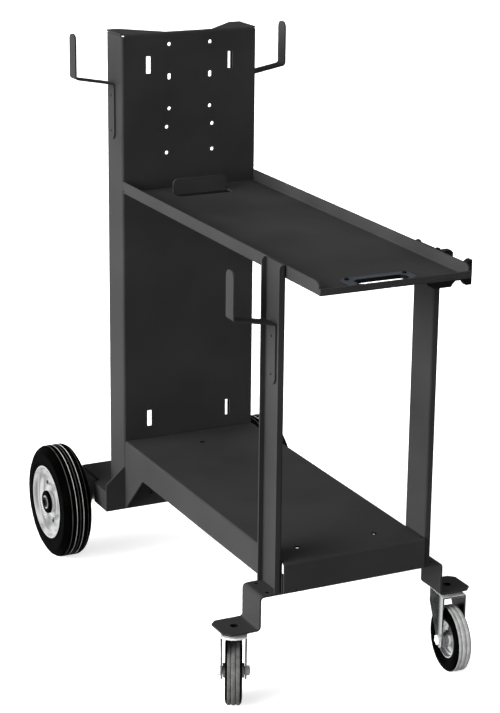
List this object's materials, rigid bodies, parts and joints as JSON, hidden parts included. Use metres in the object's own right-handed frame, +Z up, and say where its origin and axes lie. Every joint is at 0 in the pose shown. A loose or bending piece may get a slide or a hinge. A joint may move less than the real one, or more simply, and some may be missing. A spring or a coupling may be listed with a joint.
{
  "type": "welding cart",
  "caption": "Folded steel welding cart with machine shelf, bottom tray, bottle platform, hooks, torch holder, rear wheels and swivel casters.",
  "frame": {"origin": "on the floor, at the middle of the cart's outline", "axes": "+X to the right seen from the front, -Y to the front where the shelf's grip is, +Z up"},
  "size_m": [0.49, 0.9865, 1.01],
  "materials": {
    "powder_coat": "fine textured black powder coat",
    "zinc_plate": "bright zinc plate",
    "bright_steel": "bright turned steel",
    "black_screws": "black oxide",
    "black_plastic": "moulded black plastic",
    "grip_plastic": "moulded blue-grey plastic",
    "black_tyre": "black solid rubber",
    "caster_rubber": "dark grey rubber",
    "rim_paint": "silver painted pressed steel"
  },
  "bodies": {
    "cart": {"back_panel": "powder_coat", "shelf": "powder_coat", "bottom_tray": "powder_coat", "left_post": "powder_coat", "right_post": "powder_coat", "front_beam": "powder_coat", "rear_base": "powder_coat", "base_front_plate": "powder_coat", "gussets": "powder_coat", "axle_brackets": "powder_coat", "handle_grip": "grip_plastic", "handle_screws": "zinc_plate", "torch_holder": "black_plastic", "torch_holder_screws": "zinc_plate", "left_panel_hook": "powder_coat", "right_panel_hook": "powder_coat", "post_hook": "powder_coat", "hook_screws": "black_screws", "hook_washers": "zinc_plate", "rear_axle": "bright_steel", "axle_collars": "black_plastic", "axle_spacers": "bright_steel", "left_caster_race": "zinc_plate", "left_caster_kingpin": "zinc_plate", "left_caster_balls": "bright_steel", "right_caster_race": "zinc_plate", "right_caster_kingpin": "zinc_plate", "right_caster_balls": "bright_steel"},
    "left_rear_wheel": {"left_wheel_tyre": "black_tyre", "left_rim_outer": "rim_paint", "left_rim_inner": "rim_paint", "left_rim_rivets": "rim_paint", "left_bearing_cage": "black_plastic", "left_bearing_rollers": "bright_steel"},
    "left_swivel_fork": {"left_caster_fork": "zinc_plate", "left_caster_bolt": "zinc_plate", "left_caster_nut": "zinc_plate", "left_caster_bush": "zinc_plate"},
    "left_caster_wheel": {"left_caster_rim": "zinc_plate", "left_caster_tyre": "caster_rubber"},
    "right_rear_wheel": {"right_wheel_tyre": "black_tyre", "right_rim_outer": "rim_paint", "right_rim_inner": "rim_paint", "right_rim_rivets": "rim_paint", "right_bearing_cage": "black_plastic", "right_bearing_rollers": "bright_steel"},
    "right_swivel_fork": {"right_caster_fork": "zinc_plate", "right_caster_bolt": "zinc_plate", "right_caster_nut": "zinc_plate", "right_caster_bush": "zinc_plate"},
    "right_caster_wheel": {"right_caster_rim": "zinc_plate", "right_caster_tyre": "caster_rubber"}
  },
  "joints": [
    {"name": "left_rear_wheel_spin", "type": "hinge", "parent": "cart", "child": "left_rear_wheel", "pos_m": [-0.213, 0.38625, 0.107], "axis": [1, 0, 0], "continuous": true},
    {"name": "left_caster_swivel", "type": "hinge", "parent": "cart", "child": "left_swivel_fork", "pos_m": [-0.2005, -0.3515, 0.143], "axis": [0, 0, 1], "continuous": true},
    {"name": "left_caster_wheel_spin", "type": "hinge", "parent": "left_swivel_fork", "child": "left_caster_wheel", "pos_m": [-0.19086, -0.33173, 0.0565], "axis": [0.8988, -0.4384, 0], "continuous": true},
    {"name": "right_rear_wheel_spin", "type": "hinge", "parent": "cart", "child": "right_rear_wheel", "pos_m": [0.213, 0.38625, 0.107], "axis": [1, 0, 0], "continuous": true},
    {"name": "right_caster_swivel", "type": "hinge", "parent": "cart", "child": "right_swivel_fork", "pos_m": [0.2005, -0.3515, 0.143], "axis": [0, 0, 1], "continuous": true},
    {"name": "right_caster_wheel_spin", "type": "hinge", "parent": "right_swivel_fork", "child": "right_caster_wheel", "pos_m": [0.1982, -0.37338, 0.0565], "axis": [0.9945, -0.1045, 0], "continuous": true}
  ]
}
